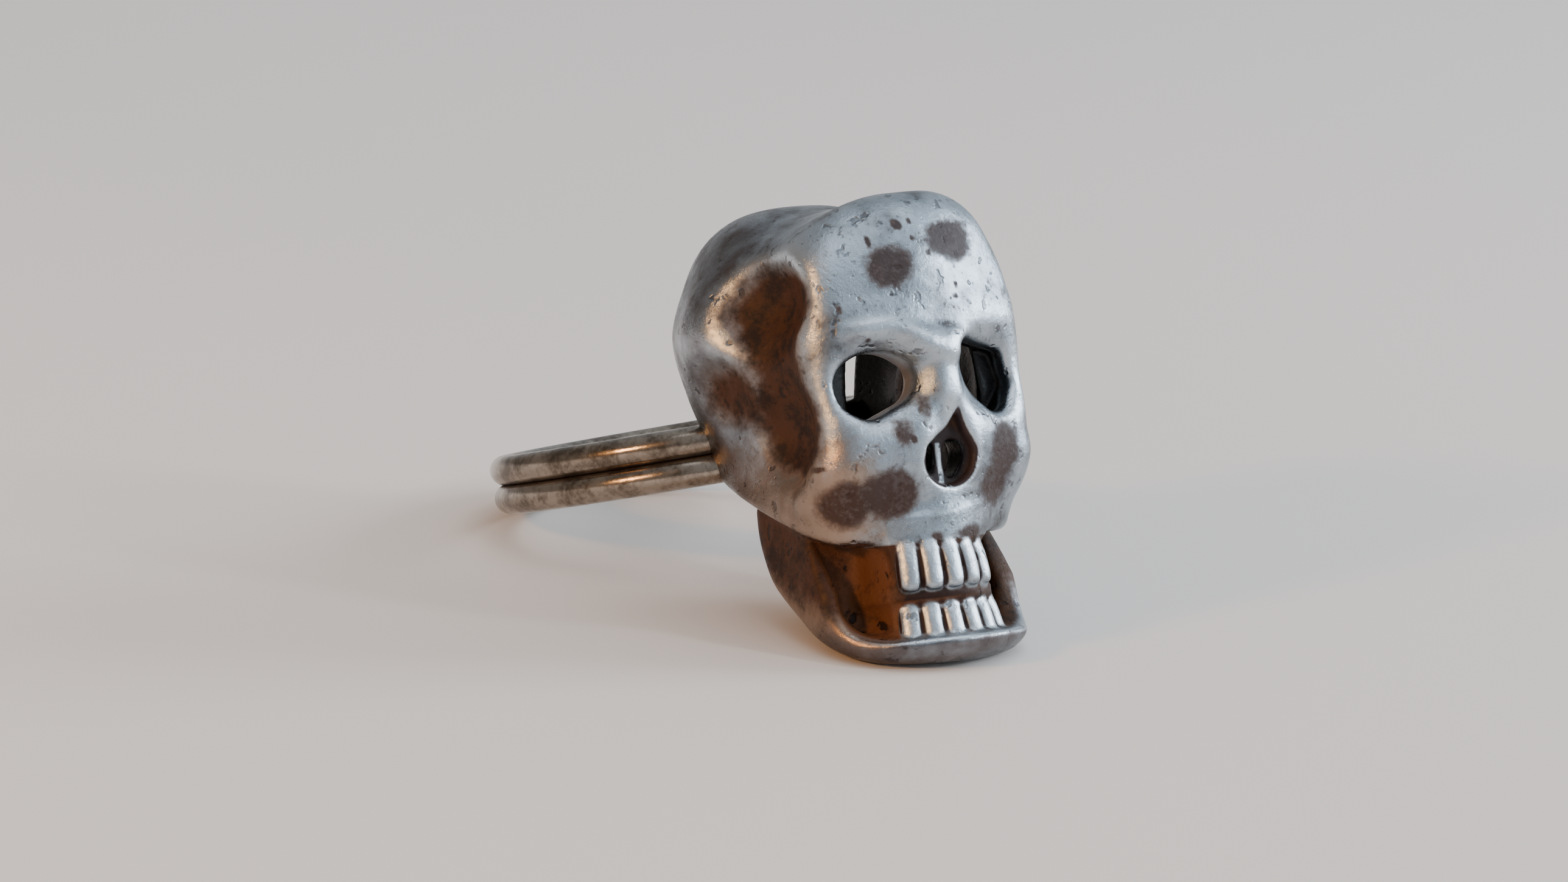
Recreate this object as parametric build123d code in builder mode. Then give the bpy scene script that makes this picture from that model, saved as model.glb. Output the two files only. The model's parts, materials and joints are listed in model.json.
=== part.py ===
from build123d import *
import os
from math import cos, radians, sin

import numpy as np

# Skull ring: a hollow cast skull soldered on the front of a band of two round wires.
# Modelled upright first: x to the wearer's left, y back, z along the finger, origin in the middle of
# the band.

# Band
finger_bore = 17.3
wire_diameter = 1.5
wire_bite = 0.04  # the two wires melt into each other this far at the solder line

# Skull casting, all lengths in millimetres
skull_width = 13.0
skull_depth = 12.35  # from the rear edges to the bridge of the nose
crown_rise = 10.9  # crown above the middle of the band
chin_drop = 11.5  # chin below it
side_wall = 1.35
face_wall = 1.9
rim_bite = 1.0  # how far the rear edges of the skull run into the wires
skull_turn = 4.0  # degrees that the skull is soldered on out of square

# Teeth
upper_teeth = 5
upper_tooth_width = 0.96
upper_tooth_height = 1.9
lower_teeth = 6
lower_tooth_width = 0.92
lower_tooth_height = 1.9
upper_teeth_level = 0.215  # the middle of each row, as a share of the skull's height
lower_teeth_level = 0.098
tooth_depth = 1.1
tooth_gap = 0.08
tooth_round = 0.2

# Facets of the casting
coarse_facet = 0.82
medium_facet = 0.66
fine_facet = 0.50
finest_facet = 0.38
margin = 1.6  # of the grid past the casting
sliver = 0.02  # no grid point lies nearer than this to the surface
settle_rounds = 5
settle_pull = 0.5
longest_move = 0.2
least_steepness = 0.1

# Search for the way the ring lies
most_lean, most_roll = 45, 15  # degrees
halvings = 40

band_radius = finger_bore / 2 + wire_diameter / 2
wire_offset = wire_diameter / 2 - wire_bite
half_width = skull_width / 2
skull_height = crown_rise + chin_drop
rim_radius = finger_bore / 2 + wire_diameter - rim_bite

# Cranium and face, a row for each level from the crown down. Level is a share of the skull's height,
# the half widths are shares of half_width, the reach is a share of skull_depth, and fall is the slope
# with which the face falls back to each side.
head_columns = "level front_half rear_half reach fall"
head_rows = (
    (1.000, 0.920, 0.860, 0.960, 0.33),
    (0.870, 0.965, 0.955, 0.970, 0.34),
    (0.737, 0.980, 1.075, 0.980, 0.33),
    (0.625, 0.955, 0.985, 1.000, 0.33),
    (0.513, 0.940, 0.835, 1.016, 0.34),
    (0.424, 0.920, 0.775, 1.000, 0.38),
    (0.366, 0.890, 0.825, 0.976, 0.46),
    (0.290, 0.845, 0.880, 0.951, 0.60),
    (0.223, 0.800, 0.890, 0.935, 0.70),
)

# Lower jaw, in the same shares. Rear is where its back edge stands.
jaw_columns = "level front_half rear_half reach rear"
jaw_rows = (
    (0.402, 0.780, 0.690, 0.927, 0.055),
    (0.281, 0.840, 0.735, 0.951, 0.110),
    (0.200, 0.885, 0.765, 0.976, 0.225),
    (0.138, 0.895, 0.755, 1.008, 0.385),
    (0.076, 0.835, 0.685, 1.032, 0.520),
    (0.031, 0.765, 0.600, 1.032, 0.665),
    (0.000, 0.715, 0.540, 1.008, 0.760),
)

# Dents and swellings: the place and the size in shares of half_width, skull_depth and skull_height,
# and the push as a share of half_width, out for plus. Those with two sides are on the left and right.
relief_power = 1.7
relief_columns = "name sides across forward level wide deep high push"
relief_rows = (
    ("upper temple dent", 2, 0.97, 0.540, 0.777, 0.42, 0.208, 0.090, -0.31),
    ("lower temple dent", 2, 0.95, 0.553, 0.527, 0.42, 0.193, 0.100, -0.26),
    ("saddle between dents", 2, 0.95, 0.546, 0.656, 0.37, 0.173, 0.054, -0.09),
    ("dent over the wires", 2, 0.95, 0.230, 0.612, 0.31, 0.140, 0.076, -0.11),
    ("back of the temple", 2, 1.05, 0.200, 0.777, 0.31, 0.150, 0.107, 0.03),
    ("cheek bone", 2, 0.77, 0.830, 0.406, 0.28, 0.150, 0.062, 0.04),
    ("eye socket", 2, 0.477, 0.943, 0.598, 0.34, 0.210, 0.085, -0.115),
    ("brow", 2, 0.46, 0.910, 0.728, 0.40, 0.160, 0.045, 0.025),
    ("brow ridge between the eyes", 1, 0.06, 0.975, 0.668, 0.22, 0.120, 0.036, 0.06),
    ("brow ridge over the right eye", 1, -0.40, 0.945, 0.702, 0.32, 0.120, 0.026, 0.035),
    ("nose hollow", 1, 0.0, 0.984, 0.462, 0.165, 0.160, 0.098, -0.11),
    ("bridge of the nose", 1, 0.0, 0.992, 0.600, 0.14, 0.160, 0.075, 0.04),
    ("back of the crown", 1, 0.0, 0.028, 1.000, 1.40, 0.240, 0.134, 0.03),
    ("dip in the crown", 1, 0.0, 0.490, 1.000, 1.40, 0.210, 0.134, -0.06),
    ("top of the forehead", 1, 0.1, 0.800, 1.000, 0.62, 0.180, 0.134, 0.05),
    ("high corner of the crown", 1, 0.48, 0.840, 0.960, 0.36, 0.180, 0.110, 0.04),
)
inner_push = 1.15  # the inside swells a little more than the dents sink, so that the wall stays as thick
pushed_through = ("upper temple dent", "lower temple dent", "saddle between dents", "dent over the wires")

# Eyes and nostrils, cut right through. The right side is the wearer's, minus across.
opening_columns = "name across level wide high turn"
opening_rows = (
    ("right eye", -0.446, 0.596, 0.300, 0.065, 12),
    ("left eye", 0.485, 0.600, 0.285, 0.067, -22),
    ("right nostril", -0.135, 0.440, 0.078, 0.046, 12),
    ("left nostril", 0.120, 0.446, 0.120, 0.052, 6),
)
opening_squareness = 2.6
opening_start = 0.78  # the openings begin this far forward

# How the sections run between their front and rear half widths, by share of the depth
head_blend = (0.07, 0.80)
jaw_blend = (0.230, 0.675)
back_pinch, pinch_depth, pinch_power = 0.30, (0.15, -0.25), 1.6  # the back of the head closes in
crown_camber = 0.14  # how far the crown falls at half_width, as a share of it
jaw_arch = 0.8  # the jaw's back edge lies this many millimetres further forward in the middle
chin_fall = 0.55  # slope with which the chin falls back to each side

# The rear edge under the band is cut away, starting at nape_level
nape_back, nape_level, nape_slope = 0.093, 0.460, 1.3

# Cheek edge over the jaw, mouth and the blocks that carry the teeth, in the same shares
cheek_edge = ((0.215, 0.379), (0.723, 0.270))  # forward and level of its two ends
jaw_top = 0.388
mouth_back, mouth_knee, mouth_slope = 0.70, 0.175, 0.95  # the cut runs back above the knee
chin_rim = 0.068
pocket_sides, pocket_back, pocket_floor = (-0.73, 0.66), 0.603, 0.080
upper_block = dict(aside=-0.09, centre=0.648, radius=0.570, half=0.390)
upper_block.update(back=0.457, low=0.147, high=0.308)
lower_block = dict(aside=-0.02, centre=0.623, radius=0.585, half=0.440)
lower_block.update(back=0.600, low=0.060, high=0.156)
palate = 0.348
throat_front = 0.466

# Roundings, in millimetres
temple_ridge_round = 1.6
crown_round = 5.0
cheek_edge_round = 0.5
jaw_round = 2.6
chin_round = 2.2
mouth_round = 2.6
pocket_round = 2.0
hollow_round = 1.0
edge_round = 0.35
block_round = 1.0
midline_round = 1.5
slant = 0.91  # thickness through a sloping face, as a share of that along it


def table(columns, rows):
    return [dict(zip(columns.split(), row)) for row in rows]


def along(rows, key, column, at):
    """Smooth curve through one column of a table, straight beyond its ends."""
    rows = sorted(rows, key=lambda row: row[key])
    x = np.array([row[key] for row in rows])
    y = np.array([row[column] for row in rows])
    slope = np.gradient(y, x)
    i = np.clip(np.searchsorted(x, at) - 1, 0, len(x) - 2)
    step = x[i + 1] - x[i]
    t = np.clip((at - x[i]) / step, 0, 1)
    rise = (3 - 2 * t) * t * t
    bend = step * t * (1 - t) * (slope[i] * (1 - t) - slope[i + 1] * t)
    return y[i] * (1 - rise) + y[i + 1] * rise + bend


def meet(a, b, blend):
    """Space inside both a and b, with a rounded edge. Distances are minus inside."""
    overlap = np.maximum(blend - np.abs(a - b), 0) / blend
    return np.maximum(a, b) + overlap * overlap * blend / 4


def join(a, b, blend):
    return -meet(-a, -b, blend)


def forward_of(share):
    return rim_radius + share * skull_depth


def level_of(share):
    return share * skull_height - chin_drop


def relief(surface, x, f, z, names=None, strength=1.0):
    """Press the dents in and swell the bones out."""
    for row in table(relief_columns, relief_rows):
        if names and row["name"] not in names:
            continue
        for side in (1, -1)[: row["sides"]]:
            across = (x / half_width - side * row["across"]) / row["wide"]
            forward = ((f - rim_radius) / skull_depth - row["forward"]) / row["deep"]
            level = ((z + chin_drop) / skull_height - row["level"]) / row["high"]
            fade = np.exp(-((across**2 + forward**2 + level**2) ** relief_power))
            surface = surface - strength * row["push"] * half_width * fade
    return surface


def head_walls(x, f, z, side_inset=0.0, face_inset=0.0):
    """Cranium and face without their details, or their inner wall."""
    rows = table(head_columns, head_rows)
    level = (z + chin_drop) / skull_height
    depth = (f - rim_radius) / skull_depth
    front = np.clip((depth - head_blend[0]) / (head_blend[1] - head_blend[0]), 0, 1)
    front = (3 - 2 * front) * front * front
    half = along(rows, "level", "front_half", level) * front
    half = half + along(rows, "level", "rear_half", level) * (1 - front)
    pinch = np.clip((pinch_depth[0] - depth) / (pinch_depth[0] - pinch_depth[1]), 0, 1)
    pinch = 1 - back_pinch * pinch**pinch_power
    side = np.abs(x) - half * pinch * half_width + side_inset
    aside = np.sqrt(x * x + midline_round**2) - midline_round
    reach = forward_of(along(rows, "level", "reach", level)) - along(rows, "level", "fall", level) * aside
    face = (f - reach) * slant + face_inset
    crown = z - crown_rise + crown_camber * x * x / half_width + side_inset
    return meet(meet(side, face, temple_ridge_round), crown, crown_round)


def head(x, f, z):
    (start, high), (end, low) = cheek_edge
    depth = (f - rim_radius) / skull_depth
    edge = level_of(high + (low - high) * np.clip((depth - start) / (end - start), -1, 1))
    surface = relief(head_walls(x, f, z), x, f, z)
    surface = meet(surface, edge - z, cheek_edge_round)
    nape = forward_of(-nape_back) + nape_slope * np.maximum(level_of(nape_level) - z, 0)
    return meet(surface, nape - f, cheek_edge_round)


def jaw_walls(x, f, z, inset=0.0):
    rows = table(jaw_columns, jaw_rows)
    level = (z + chin_drop) / skull_height
    depth = (f - rim_radius) / skull_depth
    front = (depth - jaw_blend[0]) / (jaw_blend[1] - jaw_blend[0])
    half = along(rows, "level", "front_half", level) * front
    half = half + along(rows, "level", "rear_half", level) * (1 - front)
    side = np.abs(x) - half * half_width + inset
    aside = np.sqrt(x * x + midline_round**2) - midline_round
    chin = (f - forward_of(along(rows, "level", "reach", level)) + chin_fall * aside) * slant
    return meet(meet(side, chin, jaw_round), inset - chin_drop - z, chin_round)


def jaw(x, f, z):
    """A scoop: open in front above the chin's rim, with a pocket on each side of the teeth."""
    rows = table(jaw_columns, jaw_rows)
    level = (z + chin_drop) / skull_height
    half = along(rows, "level", "rear_half", level) * half_width
    rear = forward_of(along(rows, "level", "rear", level)) + jaw_arch * (1 - (x / half) ** 2)
    surface = meet(jaw_walls(x, f, z), z - level_of(jaw_top), cheek_edge_round)
    surface = meet(surface, rear - f, pocket_round)
    back = forward_of(mouth_back - mouth_slope * np.maximum(level - mouth_knee, 0))
    mouth = meet(back - f, level_of(chin_rim) - z, mouth_round)
    right, left = pocket_sides
    pocket = np.maximum(right * half_width - x, x - left * half_width)
    pocket = np.maximum(pocket, forward_of(pocket_back) - f)
    pocket = meet(pocket, np.maximum(level_of(pocket_floor) - z, z - level_of(jaw_top)), pocket_round)
    return meet(meet(surface, -mouth, cheek_edge_round), -pocket, cheek_edge_round)


def tooth_block(x, f, z, aside, centre, radius, half, back, low, high):
    across = x - aside * half_width
    surface = np.hypot(across, f - forward_of(centre)) - radius * half_width
    surface = np.maximum(surface, np.abs(across) - half * half_width)
    surface = np.maximum(surface, np.maximum(z - level_of(high), level_of(low) - z))
    return np.maximum(surface, forward_of(back) - f)


def hollow(x, f, z):
    """Inside of the casting, from the crown down into the chin."""
    skull = head_walls(x, f, z, side_wall, face_wall)
    skull = relief(skull, x, f, z, pushed_through, inner_push)
    skull = meet(skull, level_of(palate) - z, hollow_round)
    throat = np.maximum(jaw_walls(x, f, z, side_wall), z - level_of(jaw_top))
    throat = meet(throat, f - forward_of(throat_front), hollow_round)
    return join(skull, throat, hollow_round)


def opening(x, f, z, row):
    turn = radians(row["turn"])
    across = x - row["across"] * half_width
    up = z - level_of(row["level"])
    wide, high = row["wide"] * half_width, row["high"] * skull_height
    u = np.abs(across * cos(turn) + up * sin(turn)) / wide
    v = np.abs(up * cos(turn) - across * sin(turn)) / high
    ring = (u**opening_squareness + v**opening_squareness) ** (1 / opening_squareness)
    return np.maximum((ring - 1) * min(wide, high), forward_of(opening_start) - f)


def casting(x, y, z):
    """Distance to the surface of the skull casting, minus inside the silver."""
    turn = radians(skull_turn)
    f = -y
    across, up = x * cos(turn) - z * sin(turn), x * sin(turn) + z * cos(turn)
    outer = join(head(across, f, up), jaw(across, f, up), edge_round)
    outer = join(outer, tooth_block(across, f, up, **upper_block), block_round)
    outer = join(outer, tooth_block(across, f, up, **lower_block), block_round)
    silver = meet(outer, -hollow(across, f, up), edge_round)
    for row in table(opening_columns, opening_rows):
        silver = meet(silver, -opening(across, f, up, row), edge_round)
    return meet(silver, rim_radius - np.hypot(x, f), edge_round)


def steps(*stretches):
    """Grid lines, each stretch given as start, end and longest step."""
    lines = [stretches[0][0]]
    for start, end, step in stretches:
        count = max(1, int(np.ceil((end - start) / step)))
        lines.extend(start + (end - start) * np.arange(1, count + 1) / count)
    return np.array(lines)


def window(grid, shift):
    """The grid's points moved by shift, 0 or 1 along each axis, one fewer each way."""
    return tuple(slice(s, n - 1 + s) if s is not None else slice(None) for s, n in zip(shift, grid.shape))


def no_corner_contact(inside):
    """Fill grid points until no two filled ones touch only across a face or a cell."""
    while True:
        fill = np.zeros_like(inside)
        for axis in range(3):
            pair = [i for i in range(3) if i != axis]

            def shift(i, j):
                place = [None] * 3
                place[pair[0]], place[pair[1]] = i, j
                return window(inside, place)

            a, b, c, d = (inside[shift(*s)] for s in ((0, 0), (1, 0), (0, 1), (1, 1)))
            fill[shift(1, 0)] |= a & d & ~b & ~c
            fill[shift(0, 0)] |= b & c & ~a & ~d
        corners = [(i, j, k) for i in (0, 1) for j in (0, 1) for k in (0, 1)]
        count = sum(inside[window(inside, corner)].astype(int) for corner in corners)
        for i, j, k in corners[:4]:
            far = (1 - i, 1 - j, 1 - k)
            near_full, far_full = inside[window(inside, (i, j, k))], inside[window(inside, far)]
            fill[window(inside, (i, j, 1 - k))] |= near_full & far_full & (count == 2)
            fill[window(inside, (i, j, k))] |= ~near_full & ~far_full & (count == 6)
        if not (fill & ~inside).any():
            return inside
        inside = inside | fill


def facets(distance, grid_lines):
    """Quads of the surface where distance is zero: a point in each cell that it crosses,
    and a quad for each grid edge that it cuts."""
    points = np.stack(np.meshgrid(*grid_lines, indexing="ij"), -1)
    value = distance(*np.moveaxis(points, -1, 0))
    inside = no_corner_contact(value < 0)
    value = np.where(inside, np.minimum(value, -sliver), np.maximum(value, sliver))
    cells = tuple(n - 1 for n in value.shape)
    total, hits, cuts = np.zeros((*cells, 3)), np.zeros(cells), []
    for axis in range(3):
        others = [(axis + 1) % 3, (axis + 2) % 3]
        low = tuple(slice(0, -1) if i == axis else slice(None) for i in range(3))
        high = tuple(slice(1, None) if i == axis else slice(None) for i in range(3))
        cut = inside[low] != inside[high]
        start, end = value[low][cut], value[high][cut]
        share = (start / (start - end))[:, None]
        crossing = points[low][cut] * (1 - share) + points[high][cut] * share
        corners = []
        for back in ((0, 0), (1, 0), (1, 1), (0, 1)):
            cell = np.argwhere(cut)
            cell[:, others] -= back
            np.add.at(total, tuple(cell.T), crossing)
            np.add.at(hits, tuple(cell.T), 1)
            corners.append(cell)
        cuts.append((corners, inside[low][cut]))
    number = np.cumsum(hits.ravel() > 0).reshape(cells) - 1
    place = total[hits > 0] / hits[hits > 0][:, None]
    quads = []
    for corners, starts_inside in cuts:
        around = np.stack([number[tuple(cell.T)] for cell in corners], 1)
        around[~starts_inside] = around[~starts_inside][:, ::-1]
        quads.append(around)
    return place, np.concatenate(quads)


def onto_surface(distance, points):
    """Move points straight onto the surface where distance is zero."""
    value = distance(*points.T)
    nudges = sliver * np.eye(3)
    slope = [distance(*(points + nudge).T) - distance(*(points - nudge).T) for nudge in nudges]
    slope = np.stack(slope, 1) / (2 * sliver)
    steepness = np.maximum((slope**2).sum(1), least_steepness)
    move = np.clip(value / steepness, -longest_move, longest_move)
    return points - slope * move[:, None]


def settle(distance, points, quads):
    """Space the points out evenly over the surface."""
    sides = np.concatenate([quads[:, pair] for pair in ((0, 1), (1, 2), (2, 3), (3, 0))])
    start, end = np.concatenate([sides, sides[:, ::-1]]).T
    for _ in range(settle_rounds):
        total = np.zeros_like(points)
        np.add.at(total, start, points[end])
        middle = total / np.bincount(start)[:, None]
        points = onto_surface(distance, points + settle_pull * (middle - points))
    return onto_surface(distance, points)


def halves(points, quads):
    """Each quad cut into two triangles along its shorter diagonal."""
    a, b, c, d = quads.T
    short = np.linalg.norm(points[a] - points[c], axis=1) <= np.linalg.norm(points[b] - points[d], axis=1)
    first = np.where(short[:, None], np.stack([a, b, c], 1), np.stack([a, b, d], 1))
    second = np.where(short[:, None], np.stack([a, c, d], 1), np.stack([b, c, d], 1))
    return np.concatenate([first, second])


# Grid lines lie closest together at the nose, the eyes and the mouth.
nose_half = 0.22 * half_width
face_back, face_top, mouth_top = forward_of(0.55), level_of(0.72), level_of(0.33)
grid_lines = (
    steps(
        (-half_width - margin, -nose_half, medium_facet),
        (-nose_half, nose_half, finest_facet),
        (nose_half, half_width + margin, medium_facet),
    ),
    steps(
        (-forward_of(1.0) - margin, -face_back, fine_facet),
        (-face_back, -rim_radius + 3 * margin, coarse_facet),
    ),
    steps(
        (-chin_drop - margin, mouth_top, fine_facet),
        (mouth_top, face_top, medium_facet),
        (face_top, crown_rise + margin, coarse_facet),
    ),
)
skull_points, skull_quads = facets(casting, grid_lines)
skull_points = settle(casting, skull_points, skull_quads)
skull_triangles = halves(skull_points, skull_quads)
print("casting:", len(skull_triangles), "triangles")

with BuildPart() as wires:
    with BuildSketch(Plane.XZ):
        with Locations((band_radius, wire_offset), (band_radius, -wire_offset)):
            Circle(wire_diameter / 2)
    revolve(axis=Axis.Z)

# The teeth stand round the blocks, in the skull's own turned frame.
skull_frame = Plane.XY.rotated((0, skull_turn, 0))


def tooth_row(block, count, width, height, low):
    """One row of teeth round its block, a pitch apart."""
    radius = block["radius"] * half_width
    pitch = (width + tooth_gap) / (radius + tooth_gap)
    with BuildPart() as row:
        for i in range(count):
            turn = (i - (count - 1) / 2) * pitch
            across = block["aside"] * half_width + radius * sin(turn)
            foot = (across, -forward_of(block["centre"]) - radius * cos(turn), low)
            outward = Plane(origin=foot, x_dir=(cos(turn), sin(turn), 0), z_dir=(0, 0, 1))
            with BuildSketch(outward):
                Ellipse(width / 2, tooth_depth / 2)
            extrude(amount=height)
        fillet(row.edges(), tooth_round)
    return row.part


upper_low = level_of(upper_teeth_level) - upper_tooth_height / 2
lower_low = level_of(lower_teeth_level) - lower_tooth_height / 2

with BuildPart() as ring:
    add(wires.part)
    with Locations(skull_frame.location):
        add(tooth_row(upper_block, upper_teeth, upper_tooth_width, upper_tooth_height, upper_low))
        add(tooth_row(lower_block, lower_teeth, lower_tooth_width, lower_tooth_height, lower_low))
    corners = [[Vector(*skull_points[i]) for i in triangle] for triangle in skull_triangles]
    add(Solid(Shell([Face(Wire.make_polygon(points, close=True)) for points in corners])))


def drop(roll, lean):
    """How far the chin's right and left sides and the band lie below the middle of the band."""
    x, y, z = skull_points.T
    down = x * sin(roll) * cos(lean) + y * sin(lean) - z * cos(roll) * cos(lean)
    upright = cos(roll) * cos(lean)
    low_wire = band_radius * (1 - upright**2) ** 0.5 + wire_offset * upright + wire_diameter / 2
    return down[x < 0].max(), down[x > 0].max(), low_wire


def halve(low, high, too_small):
    for _ in range(halvings):
        middle = (low + high) / 2
        low, high = (middle, high) if too_small(middle) else (low, middle)
    return high


def lean_at(roll):
    return halve(0, radians(most_lean), lambda lean: max(drop(roll, lean)[:2]) > drop(roll, lean)[2])


def on_its_right(roll):
    right, left, _ = drop(roll, lean_at(roll))
    return right > left


# The ring lies on both sides of its chin and on the back of its band, so it leans back and rolls until
# all three touch.
roll = halve(-radians(most_roll), radians(most_roll), on_its_right)
lean = lean_at(roll)
leaning = Location((0, 0, 0), (-np.degrees(lean), 0, 0)) * Location((0, 0, 0), (0, np.degrees(roll), 0))
box = (leaning * ring.part).bounding_box()
resting = Location((-box.center().X, -box.center().Y, -box.min.Z)) * leaning

with BuildPart() as skull_ring:
    with Locations(resting):
        add(ring.part)
skull_ring.part.label = "skull_ring"

os.makedirs("parts", exist_ok=True)
export_step(skull_ring.part, "parts/skull_ring.step")
print("middle of the band:", resting.position, "axis:", (leaning * Plane.XY.location).z_axis.direction)
print("volume:", round(skull_ring.part.volume, 1))
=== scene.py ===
import json
import math

import bpy
import numpy as np
from mathutils import Matrix, Vector


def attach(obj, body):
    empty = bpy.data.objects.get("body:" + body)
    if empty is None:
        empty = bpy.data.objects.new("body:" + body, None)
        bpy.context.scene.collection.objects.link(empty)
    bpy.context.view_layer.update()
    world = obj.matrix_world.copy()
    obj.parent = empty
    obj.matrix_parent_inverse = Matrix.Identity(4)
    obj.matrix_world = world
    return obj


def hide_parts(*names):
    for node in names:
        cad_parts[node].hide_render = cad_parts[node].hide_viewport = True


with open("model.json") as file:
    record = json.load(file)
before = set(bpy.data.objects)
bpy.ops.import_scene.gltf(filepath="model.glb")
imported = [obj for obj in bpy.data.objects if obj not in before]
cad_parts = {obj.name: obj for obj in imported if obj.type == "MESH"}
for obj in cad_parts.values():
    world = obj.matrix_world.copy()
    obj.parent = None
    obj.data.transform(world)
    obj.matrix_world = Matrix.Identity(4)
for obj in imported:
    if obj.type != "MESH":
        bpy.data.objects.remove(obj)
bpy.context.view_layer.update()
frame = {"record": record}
bpy.ops.object.select_all(action="DESELECT")
mm = 0.001

# Where the ring lies: the finger hole gives the middle of the band, how far it leans back and rolls.
fingerHole = next(m for m in frame["record"]["mounts"] if m["name"] == "finger_hole")
bandCentre = Vector(fingerHole["pos_m"])
lean = math.atan2(fingerHole["axis"][1], fingerHole["axis"][2])
roll = math.asin(fingerHole["axis"][0])

band = {
    "bore": 17.3,
    "wire": 1.5,
    "bite": 0.04,  # how far the wires melt into each other
    "ringSteps": 288,
    "wireSteps": 32,
    "seamSlant": 0.6,  # how the solder line narrows away from the seam
    "seamDark": 1.2,
    "seamWide": 0.55,
}
bandRadius = band["bore"] / 2 + band["wire"] / 2
wireOffset = band["wire"] / 2 - band["bite"]

skull = {
    "halfWidth": 6.5,
    "depth": 12.35,
    "crown": 10.9,
    "chin": 11.5,
    "sideWall": 1.35,
    "faceWall": 1.9,
    "rearRadius": 9.15,  # the rear edges run on a cylinder round the finger
    "turn": 4.0,  # degrees that it is soldered on out of square
    "camber": 0.14,
    "ridge": 1.5,  # how broadly the face and the chin turn over their middle line
    "slant": 0.91,  # scales the distance to the slanting face and chin
    "frontFrom": 0.07,  # the half width passes from its rear to its front value from here
    "frontOver": 0.73,  # and over this share of the depth
    "pinch": 0.30,  # how much the rear narrows, from where, over what share and how suddenly
    "pinchFrom": 0.15,
    "pinchOver": 0.4,
    "pinchPower": 1.6,
}
halfWidth = skull["halfWidth"]
skullHeight = skull["crown"] + skull["chin"]

# The lower edge of the head and the nape, as shares of the skull's height and depth
headEdge = {
    "level": 0.379,
    "drop": 0.109,
    "middle": 0.215,
    "reach": 0.508,
    "nape": -0.093,
    "napeLevel": 0.460,
    "napeSlope": 1.3,
}
jaw = {"frontFrom": 0.230, "frontOver": 0.445, "chinSlope": 0.55}
shell = {"dentStrength": 1.15, "floor": 0.348, "throat": 0.466}

# How far surfaces round into each other, in millimetres
rounds = {
    "cheek": 1.6,
    "crown": 5.0,
    "edge": 0.5,
    "jawFront": 2.6,
    "jawBottom": 2.2,
    "jawToHead": 0.35,
    "toothBlock": 1.0,
    "inside": 1.0,
    "shellRim": 0.35,
    "noseRim": 0.30,
    "eyeRim": 0.45,
    "nostrilRim": 0.2,
    "tooth": 0.14,
    "rearEdge": 0.35,
}

# level, front half width, rear half width, reach of the face, fall of the face to each side
headRows = np.array([
    (0.223, 0.800, 0.890, 0.935, 0.70),
    (0.290, 0.845, 0.880, 0.951, 0.60),
    (0.366, 0.890, 0.825, 0.976, 0.46),
    (0.424, 0.920, 0.775, 1.000, 0.38),
    (0.513, 0.940, 0.835, 1.016, 0.34),
    (0.625, 0.955, 0.985, 1.000, 0.33),
    (0.737, 0.980, 1.075, 0.980, 0.33),
    (0.870, 0.965, 0.955, 0.970, 0.34),
    (1.000, 0.920, 0.860, 0.960, 0.33),
])

# level, front half width, rear half width, reach of the chin, rear edge
jawRows = np.array([
    (0.000, 0.715, 0.540, 1.008, 0.760),
    (0.031, 0.765, 0.600, 1.032, 0.665),
    (0.076, 0.835, 0.685, 1.032, 0.520),
    (0.138, 0.895, 0.755, 1.008, 0.385),
    (0.200, 0.885, 0.765, 0.976, 0.225),
    (0.281, 0.840, 0.735, 0.951, 0.110),
    (0.402, 0.780, 0.690, 0.927, 0.055),
])

# sides, across, forward, level, wide, deep, high, push out, oxide left in it
reliefRows = {
    "upperTempleDent": (2, 0.97, 0.540, 0.777, 0.42, 0.208, 0.090, -0.31, 1.0),
    "lowerTempleDent": (2, 0.95, 0.553, 0.527, 0.42, 0.193, 0.100, -0.26, 1.0),
    "saddleBetweenDents": (2, 0.95, 0.546, 0.656, 0.37, 0.173, 0.054, -0.09, 0.5),
    "dentOverWires": (2, 0.95, 0.230, 0.612, 0.31, 0.140, 0.076, -0.11, 0.55),
    "backOfTemple": (2, 1.05, 0.200, 0.777, 0.31, 0.150, 0.107, 0.03, 0.0),
    "cheekBone": (2, 0.77, 0.830, 0.406, 0.28, 0.150, 0.062, 0.04, 0.0),
    "eyeSocket": (2, 0.477, 0.943, 0.598, 0.34, 0.210, 0.085, -0.115, 0.0),
    "brow": (2, 0.46, 0.910, 0.728, 0.40, 0.160, 0.045, 0.025, 0.0),
    "browRidgeMiddle": (1, 0.06, 0.975, 0.668, 0.22, 0.120, 0.036, 0.06, 0.0),
    "browRidgeRight": (1, -0.40, 0.945, 0.702, 0.32, 0.120, 0.026, 0.035, 0.0),
    "browKnob": (1, -0.20, 0.970, 0.672, 0.15, 0.120, 0.034, 0.070, 0.0),
    "cheekKnob": (1, -0.883, 0.640, 0.367, 0.14, 0.065, 0.036, 0.040, 0.0),
    "noseHollow": (1, 0.0, 0.984, 0.462, 0.165, 0.160, 0.098, -0.05, 0.0),
    "noseBridge": (1, 0.0, 0.992, 0.600, 0.14, 0.160, 0.075, 0.04, 0.0),
    "backOfCrown": (1, 0.0, 0.028, 1.000, 1.40, 0.240, 0.134, 0.03, 0.0),
    "dipInCrown": (1, 0.0, 0.490, 1.000, 1.40, 0.210, 0.134, -0.06, 0.0),
    "topOfForehead": (1, 0.1, 0.800, 1.000, 0.62, 0.180, 0.134, 0.05, 0.0),
    "highCorner": (1, 0.48, 0.840, 0.960, 0.36, 0.180, 0.110, 0.04, 0.0),
}
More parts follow.
